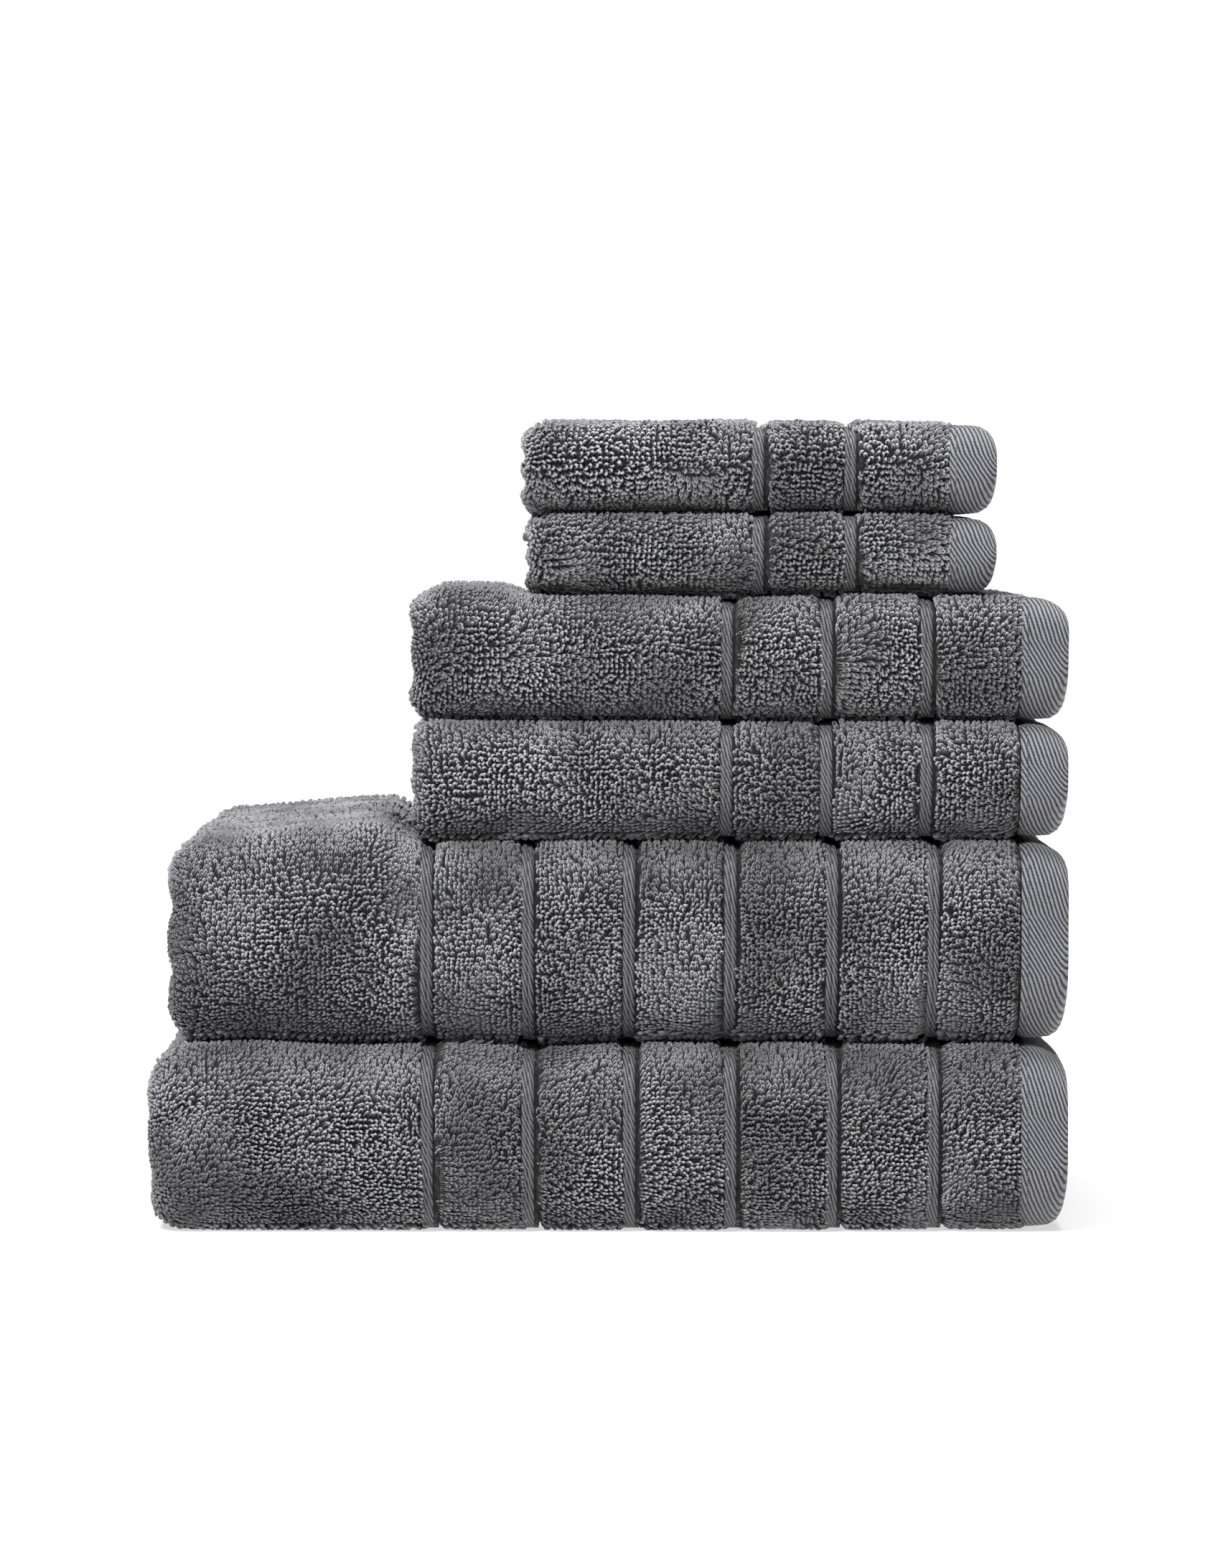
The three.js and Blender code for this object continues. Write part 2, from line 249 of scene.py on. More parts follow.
class Towel:
    def __init__(self, order, name):
        self.order, self.name = order, name
        kind_name = name.rsplit("_", 1)[0]
        self.kind, self.hem_corner = KINDS[kind_name], HEM_CORNERS[kind_name]
        vars(self).update(SETTLED[name])
        low, high = (np.array(c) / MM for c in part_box(f"{name}.cloth"))
        self.left, self.front, self.base = low
        self.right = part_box(f"{name}.end_hem_outer")[1][0] / MM
        self.back, self.top = high[1:]
        self.height = self.top - self.base
        self.panel = (self.height + PLY_GAP) / 3
        self.ply = self.panel / self.kind["plies"]
        self.half = (self.ply - PLY_GAP) / 2
        self.levels = [level * self.ply for level in LEVELS[self.kind["plies"]]]
        self.bands = [self.kind["first"] + i * self.kind["pitch"] for i in range(self.kind["bands"])]
        self.along, self.across = self.length_path(), self.width_path()

    def length_path(self):
        """In x and height over mid-panel, from the outer hem's edge to the inner hem's."""
        path, levels = Path(), self.levels
        self.left_centre = self.left + levels[0] + self.half
        right_centre = self.right - RIGHT_SETBACK - self.ply / 2 - self.half
        up, down = (0, 1), (0, -1)
        path.line((self.right, levels[0]), (self.left_centre, levels[0]), up)
        path.arc((self.left_centre, 0), (levels[0] - levels[1]) / 2, 90, 270)
        if len(levels) == 2:
            path.line((self.left_centre, levels[1]), (self.right, levels[1]), down)
            return path
        path.line((self.left_centre, levels[1]), (right_centre, levels[1]), down)
        path.arc((right_centre, (levels[1] + levels[2]) / 2), self.ply / 2, -90, 90)
        path.line((right_centre, levels[2]), (self.left_centre, levels[2]), up)
        if len(levels) == 4:
            path.arc((self.left_centre, 0), self.ply / 2, 270, 90, side=-1)
            path.line((self.left_centre, levels[3]), (self.right, levels[3]), down)
        return path

    def width_path(self):
        """In y and z, from the tucked panel's edge round the back, under and up the front to the top."""
        path, p = Path(), self.panel
        front, back, base = self.front - PLY_GAP / 2, self.back + PLY_GAP / 2, self.base - PLY_GAP / 2
        corner = p * CORNER_SHARE
        self.corner_y = front + p / 2 + corner
        low, high = base + p / 2 + corner, base + 2.5 * p - corner
        path.line((front + p + INNER_SETBACK, base + 1.5 * p), (back - p, base + 1.5 * p), (0, 1))
        path.arc((back - p, base + p), p / 2, 90, -90)
        path.line((back - p, base + p / 2), (self.corner_y, base + p / 2), (0, -1))
        path.arc((self.corner_y, low), corner, -90, -180)
        path.line((self.corner_y - corner, low), (self.corner_y - corner, high), (-1, 0))
        path.arc((self.corner_y, high), corner, 180, 90)
        path.line((self.corner_y, base + 2.5 * p), (back - BACK_SETBACK, base + 2.5 * p), (0, 1))
        return path

    def settle(self, p):
        """Where points of the neatly folded pad lie once it has settled and rounded."""
        x, y, z = p[:, 0].copy(), p[:, 1].copy(), p[:, 2].copy()
        # The front fold is squarer than a circle.
        reach = self.panel * (0.5 + CORNER_SHARE)
        for way, level, square in ((1, self.top - reach, TOP_SQUARE), (-1, self.base + reach, FOOT_SQUARE)):
            dy, dz = np.maximum(self.corner_y - y, 0), np.maximum(way * (z - level), 0)
            size = np.hypot(dy, dz) + 1e-9
            bulk = (dy / size) ** square + (dz / size) ** square
            grow = np.where(bulk > 0.1, np.maximum(bulk, 0.1) ** (-1 / square) - 1, 0)
            y -= dy * grow
            z += way * dz * grow
        height = np.clip((z - self.base) / self.height, 0, 1)
        # The front crowns a little, and its ends lie in from the panels behind.
        near_front = 1 - ease(y, self.front, self.front + self.panel * 1.1)
        y -= near_front * CROWN * (1 - (2 * height - 1) ** 2)
        y += near_front * (self.tuck * np.clip(1 - height / TUCK_SHARE, 0, 1) ** 2
                           - self.brow * ease(height, *BROW_RISE))
        y += near_front * FRONT_WAVE * ripple(x, z, FRONT_WAVELENGTH, SEEDS["front"] + self.order)
        # The left end leans, and is dented where two panels meet.
        left, right = x - self.left, self.right - x
        x += near_front * (1 - ease(left, 0, LEFT_IN_REACH)) * self.left_in
        x += (1 - ease(left, 0, LEAN_REACH)) * self.lean * (height - LEAN_PIVOT)
        x += (1 - ease(left, 0, DENT_REACH)) * self.dent * (1 - np.abs(np.sin(3 * math.pi * height)))
        # The ends' corners are round, as each ply is drawn in.
        lower = self.end_drop(left, *self.left_top) + self.end_drop(right, *self.hem_corner)
        lift = self.end_drop(left, *self.left_foot) + self.end_drop(right, *HEM_FOOT_CORNER)
        z = self.base + lift + (z - self.base) * (self.height - lower - lift) / self.height
        # Each towel takes the shape of what it lies on, and of what lies on it.
        under, over = seam(self.order, x, y), seam(self.order + 1, x, y)
        z += under * (1 - height) + over * height
        return np.stack([x, y, z], 1)

    @staticmethod
    def end_drop(distance, width, depth):
        """How far a rounded end drops, at a distance in from it."""
        share = np.clip((width - distance) / width, 0, 0.985)
        return depth * (1 - np.sqrt(1 - share * share))

    def surface(self, s, v, lift):
        """Points `lift` over the cloth's mid-surface, at s along it and v across it."""
        point, outward = self.along.at(s)
        place, normal = self.across.at(v)
        x = point[:, 0] + lift * outward[:, 0]
        n = point[:, 1] + lift * outward[:, 1]
        return self.settle(np.stack([x, place[:, 0] + n * normal[:, 0], place[:, 1] + n * normal[:, 1]], 1))

    def outer_lift(self, s, v):
        """Where the outer face of the ground lies over the mid-surface."""
        root = self.half - PILE_SINK
        lift = np.full(len(s), root)
        edges = [END_HEM, *(b + o for b in self.bands for o in (-BAND / 2, BAND / 2)), self.turn_start]
        for low, high in zip(edges[::2], edges[1::2], strict=True):
            here = (s > low) & (s < high)
            swell = np.minimum((s - low) * (high - s) / SWELL_REACH ** 2, 1)
            lift[here] = (root + PUFF * (swell - 0.6))[here]
        # Bands are deep where the cloth is bare, and pressed level where it lies on or in something.
        starts = [low for low, _, _ in self.across.parts]
        foot = starts[3] + (0 if self.order else FLOOR_REACH)
        open_front = ease(v, foot - 2, foot + 6) * (1 - ease(v, starts[6] - 6, starts[6] + 4))
        open_back = ease(v, starts[1] - 2, starts[1] + 6) * (1 - ease(v, starts[2] - 6, starts[2] + 2))
        bare = np.maximum(open_front, open_back)
        if self.order == len(NAMES) - 1:
            bare = np.maximum(bare, ease(v, starts[3] + 2, starts[4]))
        floor = CREASE * bare + (self.half - PRESSED_BAND) * (1 - bare)
        for band in self.bands:
            share = (s - band) / BAND + 0.5
            here = (share >= 0) & (share <= 1)
            rise = np.interp(share, BAND_SHARES, BAND_RISE)
            lift[here] = (floor + (np.maximum(root + 0.1, floor) - floor) * rise)[here]
        return lift

    def nap(self, s, v):
        """The angle the pile leans at, from 0 up the front through the right, and how flat it is combed."""
        low, corner, high = self.across.parts[3][0], self.across.parts[5][0], self.across.parts[5][1]
        share = (v - low) / (high - low) + 0.06 * ripple(s, v, 45, SEEDS["parting"] + self.order)
        top, bottom, part_low, part_high = self.nap_turns
        way = ease(share, part_low, part_high)
        turn = bottom + (top - bottom) * way + LEAN_TURN * ripple(s, v, 34, SEEDS["nap"] + self.order)
        # Where the nap parts sharply, the loops stand up.
        parted = 4 * way * (1 - way) * (part_high - part_low < SHARP_PARTING)
        combed = ease(v, corner - 2, corner + 8) * (1 - 0.2 * ease(v, corner + 22, corner + 45))
        patches = COMBED_PATCH * ease(ripple(s, v, 55, SEEDS["combed"] + self.order), 0.1, 0.9)
        return turn, np.maximum(combed * self.combing, patches), parted

    @property
    def turn_start(self):
        """Where the outer ply begins to turn round the left end."""
        return self.right - self.left_centre


towels = [Towel(order, name) for order, name in enumerate(NAMES)]
for lower, upper in zip(towels, towels[1:], strict=False):
    upper.below_brow = lower.brow
    upper.open_rise = OPEN_RISE * (upper.left - lower.left) / 100


def seam(level, x, y):
    """The height of the wavy surface between towel level - 1 and towel level over its flat place."""
    if level == 0:
        return 0 * x
    wave = SEAM_WAVE * ripple(x, y, SEAM_WAVELENGTH, SEEDS["seam"] + level)
    if level < len(towels):
        above = towels[level]
        wave = wave + SEAM_BROW * above.below_brow * (1 - ease(y - above.front, 0, SEAM_BROW_REACH))
        outside = above.left - x
        sink = OPEN_SINK * ease(outside, OPEN_SLOPE, OPEN_REACH)
        wave = wave + above.open_rise * ease(outside, 0, OPEN_SLOPE) * (1 - sink)
    return wave


# ---- Meshes -------------------------------------------------------------------------------------

def new_mesh(name, points, faces, uv=None, height=None, material_index=None):
    """A mesh object from arrays of points in millimetres and of faces with one number of corners."""
    mesh = bpy.data.meshes.new(name)
    count, corners = faces.shape
    mesh.vertices.add(len(points))
    mesh.vertices.foreach_set("co", (points * MM).astype(np.float32).ravel())
    mesh.loops.add(count * corners)
    mesh.loops.foreach_set("vertex_index", faces.astype(np.int32).ravel())
    mesh.polygons.add(count)
    mesh.polygons.foreach_set("loop_start", np.arange(0, count * corners, corners, dtype=np.int32))
    mesh.polygons.foreach_set("use_smooth", np.ones(count, bool))
    if material_index is not None:
        mesh.polygons.foreach_set("material_index", material_index.astype(np.int32))
    mesh.update(calc_edges=True)
    if uv is not None:
        layer = mesh.uv_layers.new(name="Cloth")
        layer.data.foreach_set("uv", (uv * MM)[faces.ravel()].astype(np.float32).ravel())
    if height is not None:
        mesh.attributes.new("pile_shade_height", "FLOAT", "POINT").data.foreach_set(
            "value", height.astype(np.float32))
    obj = bpy.data.objects.new(name, mesh)
    bpy.context.scene.collection.objects.link(obj)
    return obj


def slab(name, towel, s, v, lift_out, lift_in, band_faces=None):
    """A closed sheet of cloth over the grid of s and v. Lifts are given for each s, or as a function."""
    grid_s, grid_v = (g.ravel() for g in np.meshgrid(s, v, indexing="ij"))
    rows, columns = len(s), len(v)
    raised = lift_out(grid_s, grid_v) if callable(lift_out) else np.repeat(lift_out, columns)
    out = towel.surface(grid_s, grid_v, raised)
    inn = towel.surface(grid_s, grid_v, np.repeat(lift_in, columns))
    at = np.arange(rows * columns).reshape(rows, columns)
    under = at + rows * columns

    def quads(a, b, c, d):
        return np.stack([a.ravel(), b.ravel(), c.ravel(), d.ravel()], 1)

    top = quads(at[:-1, :-1], at[:-1, 1:], at[1:, 1:], at[1:, :-1])
    low = quads(under[:-1, :-1], under[1:, :-1], under[1:, 1:], under[:-1, 1:])
    sides = [
        quads(at[0, :-1], under[0, :-1], under[0, 1:], at[0, 1:]),
        quads(at[-1, 1:], under[-1, 1:], under[-1, :-1], at[-1, :-1]),
        quads(at[1:, 0], under[1:, 0], under[:-1, 0], at[:-1, 0]),
        quads(at[:-1, -1], under[:-1, -1], under[1:, -1], at[1:, -1]),
    ]
    faces = np.concatenate([top, low, *sides])
    index = None
    if band_faces is not None:
        index = np.zeros(len(faces), int)
        index[:len(top)] = np.repeat(band_faces, columns - 1)
    uv = np.stack([np.tile(grid_s, 2), np.tile(grid_v, 2)], 1)
    return new_mesh(name, np.concatenate([out, inn]), faces, uv, material_index=index)


# ---- Materials ----------------------------------------------------------------------------------

def linear(colour):
    """A colour written as sRGB hex, as the linear values that a shader takes."""
    parts = [int(colour[i:i + 2], 16) / 255 for i in (1, 3, 5)]
    return [c / 12.92 if c <= 0.04045 else ((c + 0.055) / 1.055) ** 2.4 for c in parts] + [1.0]


def node(tree, kind, links=(), stops=(), **settings):
    """Adds a node. Settings name its properties or its inputs, links are (input, from socket), and
    stops are the places and colours of a colour ramp."""
    made = tree.nodes.new("ShaderNode" + kind)
    for key, value in settings.items():
        if hasattr(made, key):
            setattr(made, key, value)
        else:
            made.inputs[key.replace("_", " ")].default_value = value
    for socket, source in links:
        tree.links.new(source, made.inputs[socket])
    if stops:
        elements = made.color_ramp.elements
        while len(elements) < len(stops):
            elements.new(0.5)
        for element, (place, colour) in zip(elements, stops, strict=True):
            element.position, element.color = place, linear(colour)
    return made


def new_material(name):
    material = bpy.data.materials.new(name)
    material.use_nodes = True
    tree = material.node_tree
    tree.nodes.clear()
    return material, tree


def finish_material(tree, colour, bump, **settings):
    shader = node(tree, "BsdfPrincipled", [("Base Color", colour), ("Normal", bump)], **settings)
    node(tree, "OutputMaterial", [("Surface", shader.outputs[0])])


def terry_pile():
    # Combed cotton looped pile, piece-dyed: no gloss, a soft halo at grazing light, painted shade that
    # darkens it towards its roots, and a painted highlight on its tips.
    material, tree = new_material("dyed_cotton_loop_pile")
    where = node(tree, "TexCoord").outputs["Object"]
    height = node(tree, "Attribute", attribute_name="pile_shade_height").outputs["Fac"]
    dye = node(tree, "TexNoise", [("Vector", where)], Scale=1 / 0.035, Detail=3.0)
    # Painted shade and highlight: near black at a loop's roots, down among the loops, and light at its tip.
    yarn = node(tree, "ValToRGB", [("Fac", height)],
                [(0.0, "#060607"), (0.45, "#1e1e21"), (0.75, "#535358"), (1.0, "#98989e")])
    patch = node(tree, "ValToRGB", [("Fac", dye.outputs["Fac"])], [(0.38, "#9c9ca0"), (0.6, "#ffffff")])
    mixed = node(tree, "Mix", data_type="RGBA", blend_type="MULTIPLY", Factor=1.0)
    tree.links.new(yarn.outputs["Color"], mixed.inputs[6])
    tree.links.new(patch.outputs["Color"], mixed.inputs[7])
    fibre = node(tree, "TexNoise", [("Vector", where)], Scale=1 / 0.0007, Detail=2.0)
    bump = node(tree, "Bump", [("Height", fibre.outputs["Fac"])], Strength=0.35, Distance=0.0003)
    finish_material(tree, mixed.outputs[2], bump.outputs[0], Roughness=0.62, Sheen_Weight=0.35,
                    Sheen_Roughness=0.5, Specular_IOR_Level=0.45)
    return material


def terry_ground():
    # The woven ground under the pile, with the loops' feet: it shows where plies face each other, and its
    # near black is painted shade, the shade down between the loops and between the plies.
    material, tree = new_material("dyed_cotton_terry_ground")
    cloth = node(tree, "UVMap", uv_map="Cloth").outputs[0]
    cells = node(tree, "TexVoronoi", [("Vector", cloth)], Scale=1 / 0.0024, Randomness=0.6)
    # Painted shade: darker away from the loops' feet, in the hollows between them.
    colour = node(tree, "ValToRGB", [("Fac", cells.outputs["Distance"])],
                  [(0.1, "#1c1c1e"), (0.75, "#0a0a0c")])
    turned = node(tree, "Math", [(0, cells.outputs["Distance"])], operation="MULTIPLY")
    turned.inputs[1].default_value = -1.0
    bump = node(tree, "Bump", [("Height", turned.outputs[0])], Strength=0.9, Distance=0.0015)
    finish_material(tree, colour.outputs["Color"], bump.outputs[0], Roughness=0.95, Sheen_Weight=0.2,
                    Specular_IOR_Level=0.2)
    return material


WAVE_PITCH = 0.31416     # metres from one band to the next of a wave texture, at scale 1
FIBRE_SHARE = 0.22       # how much the fibres blur a twill's lines


def twill(name, dark, light, pitch, angle, sheen, weft_share, wander):
    """A flat twill: its diagonal ridges `pitch` metres apart, crossed by the finer weft, with painted shade
    in the grooves between the ridges.
    """
    material, tree = new_material(name)
    cloth = node(tree, "UVMap", uv_map="Cloth").outputs[0]
    turned = node(tree, "Mapping", [("Vector", cloth)], Rotation=(0, 0, math.radians(angle)))
    ridges = node(tree, "TexWave", [("Vector", turned.outputs[0])], Scale=WAVE_PITCH / pitch,
                  Distortion=wander, Detail=3.0, Detail_Scale=2.0)
    weft = node(tree, "TexWave", [("Vector", cloth)], bands_direction="Y",
                Scale=WAVE_PITCH / (pitch * 0.42), Distortion=0.6)
    height = node(tree, "Mix", [(2, ridges.outputs["Fac"]), (3, weft.outputs["Fac"])], Factor=weft_share)
    fibre = node(tree, "TexNoise", [("Vector", cloth)], Scale=1 / 0.0006, Detail=3.0)
    spun = node(tree, "Mix", [(2, height.outputs[0]), (3, fibre.outputs["Fac"])], Factor=FIBRE_SHARE)
    # Painted shade: the colour follows the ridges that the bump raises, dark in the grooves and light on the
    # ridges.
    colour = node(tree, "ValToRGB", [("Fac", spun.outputs[0])], [(0.2, dark), (0.66, light)])
    bump = node(tree, "Bump", [("Height", height.outputs[0])], Strength=0.8, Distance=0.0006)
    finish_material(tree, colour.outputs["Color"], bump.outputs[0], Roughness=0.58, Sheen_Weight=sheen,
                    Specular_IOR_Level=0.35)
    return material


PILE = terry_pile()
GROUND = terry_ground()
# Mercerised cotton woven flat over the end of the cloth, turned and pressed: crisp diagonal lines of painted
# shade, a little glossier than the pile.
HEM = twill("pressed_cotton_twill_hem", "#060608", "#7a7a80", 0.0015, 32, 0.15, 0.1, 1.1)
# The same weave in a narrow band, not pressed: duller, its lines blurred by the pile beside it. Its
# ridges are drawn 1.2 mm apart, about twice the real distance, which would be too fine to show.
WOVEN = twill("cotton_twill_band", "#141416", "#6a6a70", 0.0012, 24, 0.1, 0.2, 1.6)
# Spun polyester dyed to match: plain twisted thread.
THREAD_FINISH = twill("spun_polyester_thread", "#3c3c40", "#5c5c61", 0.0008, 45, 0.1, 0.1, 0.5)


# ---- Pieces -------------------------------------------------------------------------------------

def dress(obj, towel, slot, node_name, *materials):
    for material in materials:
        obj.data.materials.append(material)
    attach(obj, towel.name)
    if node_name:
        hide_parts(f"{towel.name}.{node_name}")
    return obj


def cloth(towel):
    """The folded sheet without its pile. The outer ply is the finest, and follows the bands."""
    fine, coarse = 6.0, 22.0
    steps = [fine, 2.2] + [coarse, 3.5, coarse, 3.5, coarse][:len(towel.along.parts) - 2]
    s = towel.along.stops(steps, END_HEM + PIECE_GAP, towel.along.length - END_HEM - PIECE_GAP)
    across_band = [-BAND_MARGIN, -BAND / 2 - 0.05, *((share - 0.5) * BAND for share in BAND_SHARES),
                   BAND / 2 + 0.05, BAND_MARGIN]
    edges = np.concatenate([np.array(across_band) + band for band in towel.bands])
    s = np.sort(np.concatenate([s, edges]))
    s = s[np.concatenate([[True], np.diff(s) > 0.04])]
    v = towel.across.stops([25, 4, 25, 2.2, 4, 2.2, 15], SIDE_HEM + PIECE_GAP,
                           towel.across.length - SIDE_HEM - PIECE_GAP)
    turn_end = towel.along.parts[1][1]

    def lift(at_s, at_v):
        return np.where(at_s > turn_end + 8, towel.half, towel.outer_lift(at_s, at_v))

    # Twill faces take the band's material; the crease of each band keeps the near-black ground, painted
    # shade in the crease.
    middle = (s[:-1] + s[1:]) / 2
    woven = np.zeros(len(middle), int)
    for band in towel.bands:
        share = (middle - band) / BAND + 0.5
        woven[(share > BAND_SHARES[1]) & (share < 1)] = 1
    obj = slab(f"{towel.name}.folded_terry", towel, s, v, lift, np.full(len(s), -towel.half), woven)
    return dress(obj, towel, "terry", "cloth", GROUND, WOVEN)


def hem_seat(towel, s):
    """The outer end hem rises to the pile beside it, and lies lower at its edge."""
    return (towel.half - GROUND_HALF - HEM_STEP) * ease(s, 3, END_HEM - 3)


def end_hem(towel, inner):
    end = towel.along.length
    s = np.array([0, 0.15, 0.6, 1.4, 3, 6, 9, 12, 14.5, 15.6, END_HEM])
    thin = GROUND_HALF * np.sqrt(np.clip(np.array([0.02, 0.2, 0.55, 0.85, 1, 1, 1, 1, 1, 0.85, 0.3]), 0, 1))
    s, thin = (end - s[::-1], thin[::-1]) if inner else (s, thin)
    v = towel.across.stops([9, 3, 9, 2.5, 3, 2.5, 7])
    which = "inner" if inner else "outer"
    seat = 0 * s if inner else hem_seat(towel, s)
    obj = slab(f"{towel.name}.turned_hem_{which}", towel, s, v, seat + thin, seat - thin)
    return dress(obj, towel, "hem", f"end_hem_{which}", HEM)


def side_hem(towel, tucked):
    steps = [9, 2.2] + [14, 2.5, 14, 2.5, 14][:len(towel.along.parts) - 2]
    s = towel.along.stops(steps, END_HEM + PIECE_GAP, towel.along.length - END_HEM - PIECE_GAP)
    v = np.array([0, 0.3, 1.2, 4, 6.8, 7.7, SIDE_HEM])
    v = v if tucked else towel.across.length - v[::-1]
    lift = np.full(len(s), GROUND_HALF)
    which = "tucked" if tucked else "back"
    obj = slab(f"{towel.name}.turned_side_hem_{which}", towel, s, v, lift, -lift)
    return dress(obj, towel, "hem", f"side_hem_{which}", HEM)


def stitches(towel, name, node_name, s, v, forward, lift):
    """A row of lockstitches: short threads lying on a hem, each one bent down at its ends."""
    count = len(s)
    share = np.array([-0.5, 0, 0.5])
    rise = np.array([-0.5, 0.3, -0.5])
    corners = np.radians([45, 135, 225, 315])
    ring, side = len(share), len(corners)
    along = share[None, :, None] * STITCH_LENGTH + 0 * corners
    wide = THREAD * np.cos(corners)[None, None, :] + 0 * along
    high = lift + rise[None, :, None] * THREAD + THREAD * np.sin(corners)[None, None, :] + 0 * along
    ds, dv = (wide, along) if forward == "v" else (along, wide)
    points = towel.surface((s[:, None, None] + ds).ravel(), (v[:, None, None] + dv).ravel(),
                           np.broadcast_to(high, (count, ring, side)).ravel())
    one = []
    for j in range(ring - 1):
        for i in range(side):
            a, b = j * side + i, j * side + (i + 1) % side
            one.append([a, b, b + side, a + side] if forward == "s" else [a, a + side, b + side, b])
    first, last = [3, 2, 1, 0], [(ring - 1) * side + i for i in range(side)]
    one += [first, last] if forward == "s" else [first[::-1], last[::-1]]
    faces = (np.array(one)[None] + (np.arange(count) * ring * side)[:, None, None]).reshape(-1, 4)
    uv = np.stack([np.repeat(s, ring * side), np.repeat(v, ring * side)], 1)
    obj = new_mesh(f"{towel.name}.{name}", points, faces, uv)
    return dress(obj, towel, "thread", node_name, THREAD_FINISH)


def all_stitches(towel):
    step = STITCH_LENGTH + STITCH_GAP
    seat = GROUND_HALF + THREAD * 0.2
    length, width = towel.along.length, towel.across.length
    made = []
    v = np.arange(STITCH_INSET + step, width - STITCH_INSET - step, step)
    for which, at in (("outer", END_HEM - STITCH_INSET), ("inner", length - END_HEM + STITCH_INSET)):
        s = np.full(len(v), at)
        raised = hem_seat(towel, s)[0] if which == "outer" else 0
        made.append(stitches(towel, f"lockstitch_end_{which}", f"end_stitching_{which}",
                             s, v, "v", seat + raised))
    s = np.arange(END_HEM + step, length - END_HEM - step, step)
    for which, v_at in (("back", width - SIDE_HEM + STITCH_INSET), ("tucked", SIDE_HEM - STITCH_INSET)):
        made.append(stitches(towel, f"lockstitch_side_{which}", f"side_stitching_{which}",
                             s, np.full(len(s), v_at), "s", seat))
    return made


def loop_mesh(name, towel, s, v, lift, segments, scale, draw):
    """Terry loops on the cloth: each a hairpin of yarn with a three-sided section, leaning over."""
    count = len(s)

    def unit(way):
        return way / (np.linalg.norm(way, axis=-1, keepdims=True) + 1e-9)

    foot = towel.surface(s, v, lift)
    up = unit(towel.surface(s, v, lift + 1) - foot)
    right = towel.surface(s - 0.4, v, lift) - towel.surface(s + 0.4, v, lift)
    right = unit(right - up * (right * up).sum(1)[:, None])
    forward = np.cross(up, right)
    # The way the loops lean changes slowly over the cloth, and a little from one to the next.
    turn, combed, parted = towel.nap(s, v)
    turn = turn + draw.normal(0, TURN_SCATTER, count) * (1 - 0.6 * combed + parted)
    lean_way = forward * np.cos(turn)[:, None] + right * np.sin(turn)[:, None]
    # Most loops lie open, and some are turned edge on.
    twist = towel.twist + OPEN_TURN * ripple(s, v, 21, SEEDS["opening"] + towel.order)
    twist = (twist + draw.normal(0, TWIST_SCATTER, count))[:, None]
    beside = np.cross(lean_way, up)
    arch_way = beside * np.cos(twist) + lean_way * np.sin(twist)
    amount = LEAN * towel.lie + LEAN_PATCH * ripple(s, v, 26, SEEDS["lean"] + towel.order)
    amount = amount + LEAN_SCATTER * draw.normal(0, 1, count)
    lean = scale * (np.clip(amount, *LEAN_LIMITS) + 0.9 * combed) * (1 - 0.25 * parted)
    tall = scale * PILE_HEIGHT * (1 - 0.45 * combed + 0.1 * parted) * draw.uniform(0.85, 1.12, count)
    wide = scale * draw.uniform(0.5, 0.68, count)
    thick = scale * YARN * draw.uniform(0.88, 1.12, count)
    angle = np.radians(BENDS[segments])
    bow = np.sin(angle)
    spread = np.sign(np.cos(angle)) * np.abs(np.cos(angle)) ** 0.6
    centre = (foot[:, None] - (arch_way * wide[:, None])[:, None] * spread[:, None]
              + (up * tall[:, None])[:, None] * (bow ** 0.8)[:, None]
              + (lean_way * lean[:, None])[:, None] * (bow ** 1.2)[:, None])
    along = unit(np.gradient(centre, axis=1))
    out = unit(np.cross(arch_way, up * tall[:, None] + lean_way * lean[:, None]))[:, None]
    out = out * np.sign((out * up[:, None]).sum(2) + 1e-6)[:, :, None]
    spoke = unit(np.cross(out, along))
    corners = np.radians([90, 210, 330])
    rings = (centre[:, :, None] + thick[:, None, None, None]
             * (spoke[:, :, None] * np.cos(corners)[:, None]
                + np.cross(along, spoke)[:, :, None] * np.sin(corners)[:, None]))
    # Each point's height on its loop, which paints the shade at the roots and the highlight at the tip;
    # combed loops are painted less dark.
    heights = np.broadcast_to(np.maximum(bow[None, :, None], 0.5 * combed[:, None, None]), rings.shape[:3])
    size = 3 * (segments + 1)
    one = []
    for j in range(segments):
        for i in range(3):
            a, b = 3 * j + i, 3 * j + (i + 1) % 3
            one += [[a, b, b + 3], [a, b + 3, a + 3]]
    last = 3 * segments
    one += [[2, 1, 0], [last, last + 1, last + 2]]
    faces = (np.array(one)[None] + (np.arange(count) * size)[:, None, None]).reshape(-1, 3)
    return new_mesh(name, rings.reshape(-1, 3), faces, height=heights.ravel())


def even_rows(low, high, pitch, points_at):
    """Distances from low to high whose places on the cloth's outer face are `pitch` apart."""
    dense = np.linspace(low, high, 600)
    steps = np.linalg.norm(np.diff(points_at(dense), axis=0), axis=1)
    reach = np.concatenate([[0], np.cumsum(steps)])
    count = max(2, round(reach[-1] / pitch))
    return np.interp((np.arange(count) + 0.5) / count * reach[-1], reach, dense)


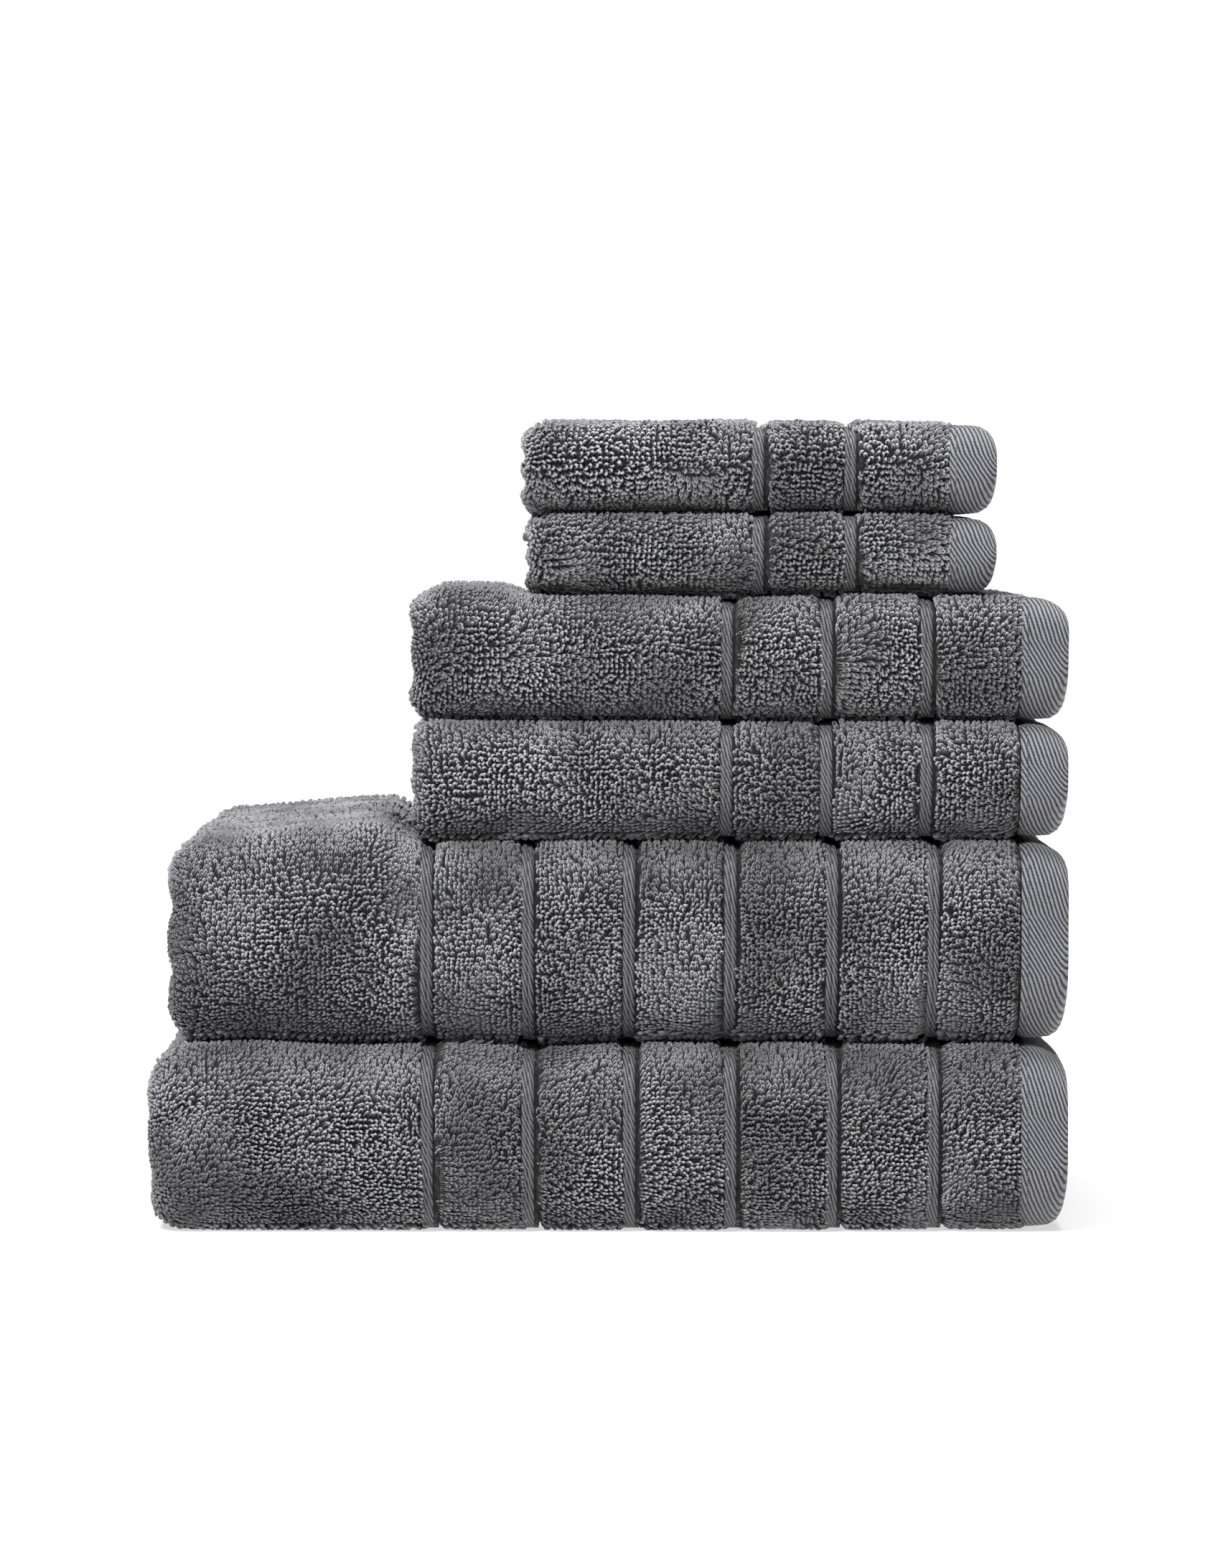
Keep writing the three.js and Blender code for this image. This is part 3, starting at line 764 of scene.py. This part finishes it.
def loop_grid(towel, s_range, v_range, pitch, draw):
    """Places for loops in rows and columns, between the bands, each a little out of line."""
    s_mid, v_mid = END_HEM + 20, sum(v_range) / 2
    lift = towel.half
    s = even_rows(*s_range, pitch, lambda d: towel.surface(d, 0 * d + v_mid, lift))
    v = even_rows(*v_range, pitch, lambda d: towel.surface(0 * d + s_mid, d, lift))
    s_gap, v_gap = (g.ravel() for g in np.meshgrid(np.gradient(s), np.gradient(v), indexing="ij"))
    s, v = (g.ravel() for g in np.meshgrid(s, v, indexing="ij"))
    s = s + s_gap * draw.normal(0, LINE_SCATTER, len(s))
    v = v + v_gap * (draw.normal(0, LINE_SCATTER, len(v)) + ROW_DRIFT * ripple(s, v, 30, SEEDS["rows"]))
    clear = (s > s_range[0]) & (s < s_range[1])
    clear &= (v > SIDE_HEM + 0.5) & (v < towel.across.length - SIDE_HEM - 0.5)
    for band in towel.bands:
        clear &= np.abs(s - band) > BAND / 2 + 0.1
    return s[clear], v[clear]


def pile(towel):
    """The loops of one towel, in a piece for each side of the folded pad."""
    draw = np.random.default_rng(SEEDS["loops"] + towel.order)
    starts = [low for low, _, _ in towel.across.parts]
    width = towel.across.length
    turn_end = towel.along.parts[1][1]
    corner = starts[4] - starts[3]
    front_pitch = towel.kind["loops"]
    # Each zone's range across the cloth, its loops' pitch, and the segments of one loop.
    zones = {
        "back": (starts[1] - 4, starts[2] + 10, BACK_PITCH, 3),
        "front_foot": (starts[3] - 8, starts[3] + 0.3 * corner, BACK_PITCH, 3),
        "front_lower": (starts[3] + 0.3 * corner, (starts[4] + starts[5]) / 2, front_pitch, 4),
        "front_upper": ((starts[4] + starts[5]) / 2, starts[6] - 0.2 * corner, front_pitch, 4),
        "top": (starts[6] - 0.2 * corner, width - SIDE_HEM - 1, BACK_PITCH, 3),
        "inside": (SIDE_HEM + 1, starts[1] - 4, BACK_PITCH, 3),
        "under": (starts[2] + 10, starts[3] - 8, BACK_PITCH, 3),
    }
    made = []
    for zone, (v_low, v_high, pitch, segments) in zones.items():
        s_low = towel.turn_start - 4 if zone in ("inside", "under") else END_HEM + 0.8
        s, v = loop_grid(towel, (s_low, turn_end), (v_low, v_high), pitch, draw)
        covered = np.zeros(len(s), bool)
        if zone == "top" and towel.order + 1 < len(towels):
            above = towels[towel.order + 1]
            place = towel.surface(s, v, np.zeros(len(s)))
            covered = ((place[:, 0] > above.left + COVER_MARGIN)
                       & (place[:, 0] < above.right - COVER_MARGIN)
                       & (place[:, 1] > above.front + COVER_FRONT)
                       & (place[:, 1] < above.back - COVER_MARGIN))
        scale = pitch / LOOP_SIZE
        parts = [("", s[~covered], v[~covered], segments, scale)]
        if covered.any():
            kept = draw.random(covered.sum()) < COVERED_SHARE
            parts.append(("_covered", s[covered][kept], v[covered][kept], 2, COVERED_SCALE * scale))
        for suffix, s_at, v_at, bends, size in parts:
            lift = towel.outer_lift(s_at, v_at) - ROOT_SINK
            obj = loop_mesh(f"{towel.name}.pile_{zone}{suffix}", towel, s_at, v_at, lift,
                            bends, size, draw)
            made.append(dress(obj, towel, "terry", None, PILE))
    if len(towel.along.parts) > 3:
        low, high, _ = towel.along.parts[3]
        s, v = loop_grid(towel, (low - 3, high + 2), (SIDE_HEM + 1, width - SIDE_HEM - 1), END_PITCH, draw)
        lift = np.full(len(s), towel.half - PILE_SINK)
        obj = loop_mesh(f"{towel.name}.pile_end_fold", towel, s, v, lift, 3, 0.8, draw)
        made.append(dress(obj, towel, "terry", None, PILE))
    return made


for towel in towels:
    sheet = cloth(towel)
    parts = [end_hem(towel, False), end_hem(towel, True), side_hem(towel, False), side_hem(towel, True)]
    parts += all_stitches(towel)
    parts += pile(towel)


# ---- Stage, light and camera --------------------------------------------------------------------

def stage():
    # A matt pale grey sheet that glows, painted light: less near the towels, where it lights them from below
    # and thins their shadows on it, and white away from them, so its far edge doesn't show.
    material, tree = new_material("matte_white_sweep")
    where = node(tree, "TexCoord").outputs["Object"]
    far = node(tree, "VectorMath", [(0, where)], operation="LENGTH")
    glow = node(tree, "MapRange", [("Value", far.outputs["Value"])], From_Min=0.25, From_Max=0.6,
                To_Min=0.6)
    shader = node(tree, "BsdfPrincipled", [("Emission Strength", glow.outputs[0])], Roughness=0.8,
                  Emission_Color=(1, 1, 1, 1))
    shader.inputs["Base Color"].default_value = linear("#b4b4b4")
    node(tree, "OutputMaterial", [("Surface", shader.outputs[0])])
    bpy.ops.mesh.primitive_plane_add(size=5)
    floor = bpy.context.object
    floor.name = "floor"
    floor.data.materials.append(material)


def area_light(name, place, target, size, power):
    data = bpy.data.lights.new(name, "AREA")
    data.size, data.energy, data.shape = size, power, "DISK"
    lamp = bpy.data.objects.new(name, data)
    lamp.location = place
    way = np.array(target) - np.array(place)
    lamp.rotation_euler = Vector(way).to_track_quat("-Z", "Y").to_euler()
    bpy.context.scene.collection.objects.link(lamp)


def camera():
    field, long_side = 0.5945, 36.0
    distance = 2.2
    front = towels[0].front * MM
    data = bpy.data.cameras.new("camera")
    data.sensor_width = long_side
    data.lens = long_side * distance / field
    data.clip_start, data.clip_end = 0.05, 50
    eye = bpy.data.objects.new("camera", data)
    level, height = 0.1725, 0.28
    eye.location = (-0.0018, front - distance, height)
    eye.rotation_euler = (math.pi / 2 - math.atan2(height - level, distance), 0, 0)
    bpy.context.scene.collection.objects.link(eye)
    bpy.context.scene.camera = eye


ROOM_LIGHT = 0.13        # how strongly the room lights the towels, where 1 is the white that it shows


def pale_room():
    """An even pale surround: it shows white, and lights the towels more softly than that."""
    world = bpy.data.worlds.new("pale_room")
    bpy.context.scene.world = world
    world.use_nodes = True
    tree = world.node_tree
    tree.nodes.clear()
    seen = node(tree, "LightPath").outputs["Is Camera Ray"]
    strength = node(tree, "MapRange", [("Value", seen)], To_Min=ROOM_LIGHT, To_Max=1.0)
    back = node(tree, "Background", [("Strength", strength.outputs[0])], Color=(1, 1, 1, 1))
    node(tree, "OutputWorld", [("Surface", back.outputs[0])])


stage()
area_light("key", (-0.7, -1.6, 1.7), (0, 0, 0.15), 0.4, 68)
area_light("top", (0.1, -0.35, 2.2), (0, 0, 0.1), 1.2, 60)
area_light("fill", (1.8, -2.0, 0.9), (0, 0, 0.15), 1.5, 3)
pale_room()
camera()
bpy.context.scene.view_settings.view_transform = "Standard"
